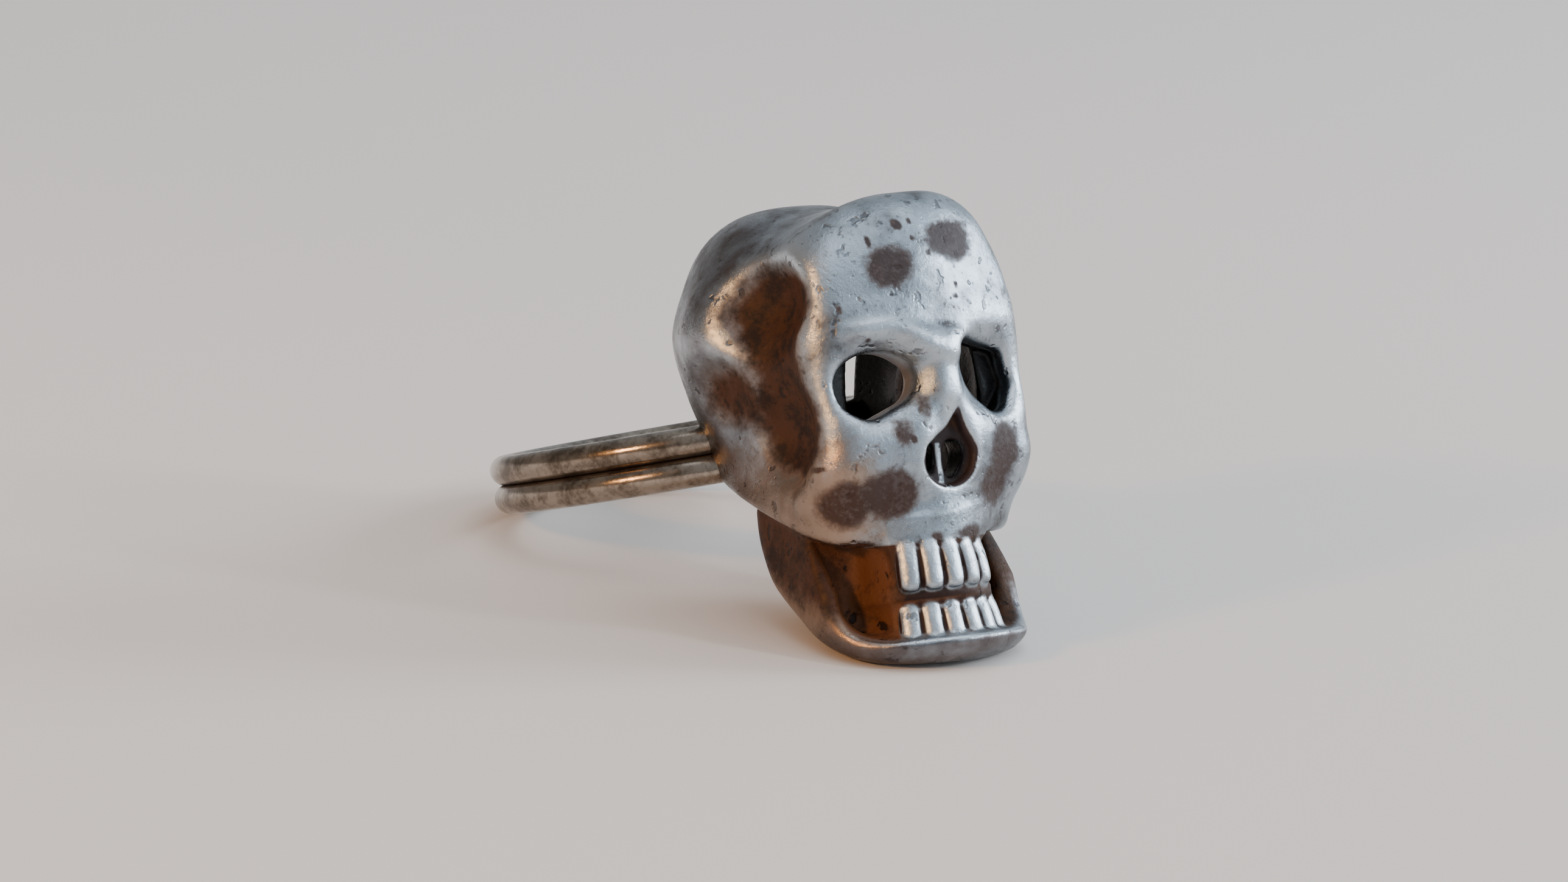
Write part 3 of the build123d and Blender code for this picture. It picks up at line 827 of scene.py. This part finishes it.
def newMaterial(name):
    material = bpy.data.materials.new(name)
    material.use_nodes = True
    nodes = material.node_tree.nodes
    return material, nodes, material.node_tree.links, nodes["Principled BSDF"]


def noiseNode(nodes, links, place, scale, detail, roughness):
    node = nodes.new("ShaderNodeTexNoise")
    node.inputs["Scale"].default_value = scale
    node.inputs["Detail"].default_value = detail
    node.inputs["Roughness"].default_value = roughness
    links.new(place, node.inputs["Vector"])
    return node.outputs["Fac"]


def attributeNode(nodes, name):
    node = nodes.new("ShaderNodeAttribute")
    node.attribute_name = name
    return node.outputs["Fac"]


def mathNode(nodes, links, operation, a, b):
    node = nodes.new("ShaderNodeMath")
    node.operation = operation
    for socket, value in zip(node.inputs, (a, b)):
        if isinstance(value, (int, float)):
            socket.default_value = value
        else:
            links.new(value, socket)
    return node.outputs[0]


def rangeNode(nodes, links, value, low, high, newLow=0.0, newHigh=1.0):
    node = nodes.new("ShaderNodeMapRange")
    node.interpolation_type = "SMOOTHSTEP"
    links.new(value, node.inputs["Value"])
    for name, number in zip(("From Min", "From Max", "To Min", "To Max"), (low, high, newLow, newHigh)):
        node.inputs[name].default_value = number
    return node.outputs["Result"]


def mixColour(nodes, links, factor, a, b):
    node = nodes.new("ShaderNodeMix")
    node.data_type = "RGBA"
    links.new(factor, node.inputs["Factor"])
    for socket, value in ((node.inputs[6], a), (node.inputs[7], b)):
        if isinstance(value, tuple):
            socket.default_value = (*value, 1)
        else:
            links.new(value, socket)
    return node.outputs[2]


silverLook = {
    "bright": (0.39, 0.45, 0.505),
    "dull": (0.15, 0.165, 0.18),
    "polishAndHighlight": (0.66, 0.73, 0.79),
    "stain": (0.034, 0.022, 0.023),
    "thinStainAndShade": (0.100, 0.082, 0.082),
    "rusty": (0.040, 0.017, 0.011),
    "rust": (0.145, 0.054, 0.020),
    "paintedWarmLight": (0.36, 0.265, 0.205),
    "groove": (0.026, 0.010, 0.007),
    "brown": (0.058, 0.021, 0.006),
    "umber": (0.018, 0.008, 0.004),
    "black": (0.003, 0.003, 0.003),
    # brownish wire silver: tarnish, and a painted warm reflection of the floor and the warm lamp
    "wire": (0.36, 0.305, 0.25),
    "wireDull": (0.12, 0.095, 0.072),
}


def roughened(nodes, links, value, noise, amount):
    shifted = mathNode(nodes, links, "MULTIPLY", mathNode(nodes, links, "SUBTRACT", noise, 0.5), amount)
    return mathNode(nodes, links, "ADD", value, shifted)


def addBump(nodes, links, shader, heights):
    normal = None
    for height, distance in heights:
        bump = nodes.new("ShaderNodeBump")
        bump.inputs["Strength"].default_value = 1.0
        bump.inputs["Distance"].default_value = distance
        links.new(height, bump.inputs["Height"])
        if normal is not None:
            links.new(normal, bump.inputs["Normal"])
        normal = bump.outputs["Normal"]
    links.new(normal, shader.inputs["Normal"])


# Scale, detail and roughness of each noise
noises = {
    "broad": (180, 4, 0.6),
    "middle": (700, 6, 0.65),
    "fine": (3200, 6, 0.7),
    "grains": (1500, 2, 0.5),
    "wireMiddle": (600, 6, 0.65),
    "wireFine": (3000, 6, 0.7),
}

# Where each range starts and ends, and what it gives at its ends where that isn't 0 and 1
ranges = {
    "dulled": (0.36, 0.72),
    "specks": (0.54, 0.76),
    "polishAndHighlight": (-0.03, -0.16),
    "paintedWarmLight": (0.05, 0.9),
    "rearAndUnderShade": (0.0, 1.0, 0.0, 0.85),
    "pits": (0.62, 0.72),
    "stained": (0.20, 0.74, 0.0, 0.95),
    "flecks": (0.46, 0.70, 0.0, 0.7),
    "inNose": (0.3, 0.8),
    "hollowed": (0.03, 0.22),
    "dents": (0.02, 0.50),
    "cheek": (0.02, 0.50),
    "mouth": (0.10, 0.60),
    "patchy": (0.42, 0.66),
    "rustKept": (0, 1, 1.0, 0.55),
    "gumsAndToothShade": (0.15, 0.8),
    "dark": (0.35, 0.9),
    "metallic": (0, 1, 1.0, 0.06),
    "rough": (0.3, 0.7, 0.24, 0.37),
    "wireDulled": (0.36, 0.68),
    "cleft": (0.25, 0.95),
    "wireMetallic": (0, 1, 1.0, 0.5),
    "wireRough": (0.3, 0.7, 0.13, 0.26),
    "sky": (-0.5, 1.0),
}

# How far a noise breaks each mask up
breaking = {
    "dulled": 0.5,
    "specks": 0.5,
    "polishAndHighlight": 0.08,
    "paintedWarmLight": 1.0,
    "rearAndUnderShade": 0.9,
    "stainEdge": 0.9,
    "stained": 0.6,
    "flecks": 0.6,
    "inNose": 0.5,
    "dentEdge": 0.5,
    "dents": 0.5,
    "cheek": 0.5,
    "mouth": 0.4,
    "patchy": 0.5,
    "wireDulled": 0.5,
}

# How much each layer counts
amounts = {
    "specks": 0.8,
    "polishAndHighlight": 0.8,
    "pits": 0.55,
    "dirtyRough": 0.25,
    "darkSmooth": 0.12,
    "polishedSmooth": 0.11,
    "cleftRough": 0.3,
    "specular": 0.28,
}
bumps = {"middle": 0.00006, "fine": 0.000035, "pits": 0.00003, "wire": 0.00001}


def within(nodes, links, value, name):
    return rangeNode(nodes, links, value, *ranges[name])


def broken(nodes, links, value, noise, name):
    return within(nodes, links, roughened(nodes, links, value, noise, breaking[name]), name)


def strongest(nodes, links, first, *others):
    for value in others:
        first = mathNode(nodes, links, "MAXIMUM", first, value)
    return first


def castMaterial():
    material, nodes, links, shader = newMaterial("castSilver")
    tree = (nodes, links)
    place = nodes.new("ShaderNodeTexCoord").outputs["Object"]
    broad = noiseNode(*tree, place, *noises["broad"])
    middle = noiseNode(*tree, place, *noises["middle"])
    fine = noiseNode(*tree, place, *noises["fine"])
    pits = within(*tree, noiseNode(*tree, place, *noises["grains"]), "pits")
    cavity = attributeNode(nodes, "cavity")
    nearEye = attributeNode(nodes, "nearEye")

    dulled = broken(*tree, broad, middle, "dulled")
    colour = mixColour(*tree, dulled, silverLook["bright"], silverLook["dull"])
    specks = mathNode(*tree, "MULTIPLY", broken(*tree, fine, middle, "specks"), amounts["specks"])
    colour = mixColour(*tree, specks, colour, silverLook["stain"])
    # bright edge colour: polish on raised edges, with painted highlight on upward faces and at the highlight spots
    polishAndHighlight = broken(*tree, cavity, middle, "polishAndHighlight")
    polishAndHighlight = mathNode(*tree, "MULTIPLY", polishAndHighlight, amounts["polishAndHighlight"])
    # the painted highlight spots join the bright edge colour
    polishAndHighlight = strongest(*tree, polishAndHighlight, attributeNode(nodes, "paintedHighlight"))
    colour = mixColour(*tree, polishAndHighlight, colour, silverLook["polishAndHighlight"])
    # painted warm reflection of the floor and the warm lamp on the lower right side
    paintedWarmLight = broken(*tree, attributeNode(nodes, "paintedWarmLight"), middle, "paintedWarmLight")
    colour = mixColour(*tree, paintedWarmLight, colour, silverLook["paintedWarmLight"])
    # painted shade at the rear and on the underside, in the thin stain colour
    rearAndUnderShade = broken(*tree, attributeNode(nodes, "rearAndUnderShade"), middle, "rearAndUnderShade")
    colour = mixColour(*tree, rearAndUnderShade, colour, silverLook["thinStainAndShade"])
    pitColour = mathNode(*tree, "MULTIPLY", pits, amounts["pits"])
    colour = mixColour(*tree, pitColour, colour, silverLook["stain"])

    stained = roughened(*tree, attributeNode(nodes, "stains"), middle, breaking["stainEdge"])
    stained = broken(*tree, stained, fine, "stained")
    stainColour = mixColour(*tree, attributeNode(nodes, "low"), silverLook["stain"], silverLook["rusty"])
    flecks = broken(*tree, fine, middle, "flecks")
    stainColour = mixColour(*tree, flecks, stainColour, silverLook["thinStainAndShade"])
    colour = mixColour(*tree, stained, colour, stainColour)
    nosed = broken(*tree, attributeNode(nodes, "inNose"), middle, "inNose")
    colour = mixColour(*tree, nosed, colour, silverLook["stain"])

    hollowed = within(*tree, cavity, "hollowed")
    dents = roughened(*tree, attributeNode(nodes, "dents"), middle, breaking["dentEdge"])
    dents = broken(*tree, dents, broad, "dents")
    # brown under the cheek: partly oxide, partly painted shade
    cheek = broken(*tree, attributeNode(nodes, "underCheekOxideAndShade"), middle, "cheek")
    mouthOxide = broken(*tree, attributeNode(nodes, "deep"), middle, "mouth")
    oxideAndShade = strongest(*tree, hollowed, dents, cheek, mouthOxide, nearEye)
    patchy = broken(*tree, middle, fine, "patchy")
    brown = mixColour(*tree, patchy, silverLook["brown"], silverLook["umber"])
    rusted = mathNode(*tree, "MULTIPLY", mouthOxide, attributeNode(nodes, "nearSide"))
    rusted = strongest(*tree, rusted, nearEye)
    rusted = mathNode(*tree, "MULTIPLY", rusted, within(*tree, patchy, "rustKept"))
    brown = mixColour(*tree, rusted, brown, silverLook["rust"])
    brown = mixColour(*tree, pits, brown, silverLook["umber"])
    colour = mixColour(*tree, oxideAndShade, colour, brown)
    # dark in the gum grooves, with painted shade on the flanks of the teeth
    gumsAndToothShade = within(*tree, attributeNode(nodes, "gumsAndToothShade"), "gumsAndToothShade")
    colour = mixColour(*tree, gumsAndToothShade, colour, silverLook["groove"])
    # painted shade: black inside the hollow skull
    dark = within(*tree, attributeNode(nodes, "innerShade"), "dark")
    colour = mixColour(*tree, dark, colour, silverLook["black"])
    links.new(colour, shader.inputs["Base Color"])

    dirtAndShade = strongest(*tree, oxideAndShade, stained, gumsAndToothShade, nosed)
    metallic = within(*tree, strongest(*tree, dirtAndShade, dark), "metallic")
    links.new(metallic, shader.inputs["Metallic"])
    shader.inputs["Specular IOR Level"].default_value = amounts["specular"]
    rough = within(*tree, middle, "rough")
    for operation, layer, name in (
        ("ADD", dirtAndShade, "dirtyRough"),
        ("SUBTRACT", dark, "darkSmooth"),
        ("SUBTRACT", polishAndHighlight, "polishedSmooth"),
    ):
        rough = mathNode(*tree, operation, rough, mathNode(*tree, "MULTIPLY", layer, amounts[name]))
    links.new(rough, shader.inputs["Roughness"])
    pitted = mathNode(*tree, "MULTIPLY", pits, -1.0)
    addBump(*tree, shader, ((middle, bumps["middle"]), (fine, bumps["fine"]), (pitted, bumps["pits"])))
    return material


def wireMaterial():
    material, nodes, links, shader = newMaterial("wireSilver")
    tree = (nodes, links)
    place = nodes.new("ShaderNodeTexCoord").outputs["Object"]
    middle = noiseNode(*tree, place, *noises["wireMiddle"])
    fine = noiseNode(*tree, place, *noises["wireFine"])
    dulled = broken(*tree, middle, fine, "wireDulled")
    colour = mixColour(*tree, dulled, silverLook["wire"], silverLook["wireDull"])
    cleft = within(*tree, attributeNode(nodes, "cleft"), "cleft")
    colour = mixColour(*tree, cleft, colour, silverLook["umber"])
    links.new(colour, shader.inputs["Base Color"])
    links.new(within(*tree, cleft, "wireMetallic"), shader.inputs["Metallic"])
    seamRough = mathNode(*tree, "MULTIPLY", cleft, amounts["cleftRough"])
    rough = mathNode(*tree, "ADD", within(*tree, middle, "wireRough"), seamRough)
    links.new(rough, shader.inputs["Roughness"])
    addBump(*tree, shader, ((fine, bumps["wire"]),))
    return material


def floorMaterial():
    material, _, _, shader = newMaterial("paleFloor")
    shader.inputs["Base Color"].default_value = (*studio["floorColour"], 1)
    shader.inputs["Roughness"].default_value = studio["floorRoughness"]
    return material


studio = {
    "floorSize": 3.0,  # metres
    "floorColour": (0.89, 0.835, 0.79),
    "floorRoughness": 0.85,
    # place, aim and up of the camera, seen from the upright ring, in millimetres
    "camera": (-140.19, -206.99, 5.00),
    "aim": (3.695, -2.605, -0.165),
    "up": (0.14797, -0.07926, 0.98581),
    "lens": 115.3,
    "sensor": 36,
    "clip": (0.01, 10),  # metres
    "brightSide": (0.80, -0.35, 0.45),
    "dimAir": (0.30, 0.265, 0.24),
    "brightAir": (0.66, 0.76, 0.86),
}

# bearing from straight ahead towards the viewer's right and height above the floor in degrees,
# distance, width and height in metres, power, colour
lamps = {
    "windowRight": (74, 20, 0.45, 0.14, 0.20, 1.3, (0.86, 0.93, 1.0)),
    "smallWindow": (42, 28, 0.45, 0.04, 0.06, 0.38, (0.86, 0.94, 1.0)),
    "topSoft": (20, 78, 0.50, 0.40, 0.36, 0.5, (0.94, 0.97, 1.0)),
    "warmFromLeft": (-82, 24, 0.40, 0.05, 0.04, 0.75, (1.0, 0.50, 0.18)),
}


def buildFloor():
    bpy.ops.mesh.primitive_plane_add(size=studio["floorSize"])
    floor = bpy.context.active_object
    floor.name = "floor"
    floor.data.materials.append(floorMaterial())


def placeCamera():
    camera = bpy.data.objects.new("photoCamera", bpy.data.cameras.new("photoCamera"))
    bpy.context.scene.collection.objects.link(camera)
    place = leanBack() @ Vector(studio["camera"])
    back = (place - leanBack() @ Vector(studio["aim"])).normalized()
    right = (leanBack().to_3x3() @ Vector(studio["up"])).cross(back).normalized()
    facing = Matrix((right, back.cross(right), back)).transposed().to_4x4()
    camera.matrix_world = Matrix.Translation(place) @ facing
    camera.data.lens = studio["lens"]
    camera.data.sensor_width = studio["sensor"]
    camera.data.clip_start, camera.data.clip_end = studio["clip"]
    bpy.context.scene.camera = camera


def hangLamps():
    for name, (bearing, height, distance, wide, high, power, colour) in lamps.items():
        bearing, height = math.radians(bearing), math.radians(height)
        flat = math.cos(height)
        place = Vector((math.sin(bearing) * flat, -math.cos(bearing) * flat, math.sin(height))) * distance
        lamp = bpy.data.lights.new(name, "AREA")
        lamp.shape = "RECTANGLE"
        lamp.size = wide
        lamp.size_y = high
        lamp.energy = power
        lamp.color = colour
        holder = bpy.data.objects.new(name, lamp)
        bpy.context.scene.collection.objects.link(holder)
        holder.location = place
        holder.rotation_euler = place.to_track_quat("Z", "Y").to_euler()


def fillAir():
    world = bpy.data.worlds.new("studioAir")
    bpy.context.scene.world = world
    world.use_nodes = True
    nodes, links = world.node_tree.nodes, world.node_tree.links
    direction = nodes.new("ShaderNodeTexCoord").outputs["Generated"]
    facing = nodes.new("ShaderNodeVectorMath")
    facing.operation = "DOT_PRODUCT"
    links.new(direction, facing.inputs[0])
    facing.inputs[1].default_value = studio["brightSide"]
    lit = within(nodes, links, facing.outputs["Value"], "sky")
    colour = mixColour(nodes, links, lit, studio["dimAir"], studio["brightAir"])
    links.new(colour, nodes["Background"].inputs["Color"])
    nodes["Background"].inputs["Strength"].default_value = 1.0


buildFloor()
placeCamera()
hangLamps()
fillAir()
print("studio ready")
castSilver = castMaterial()
wireSilver = wireMaterial()
pieces = {
    "skullCasting": (buildCasting(), castSilver),
    "bandWires": (buildBand(), wireSilver),
}
for piece, material in pieces.values():
    piece.data.materials.clear()
    piece.data.materials.append(material)
    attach(piece, "root")
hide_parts("skull_ring")
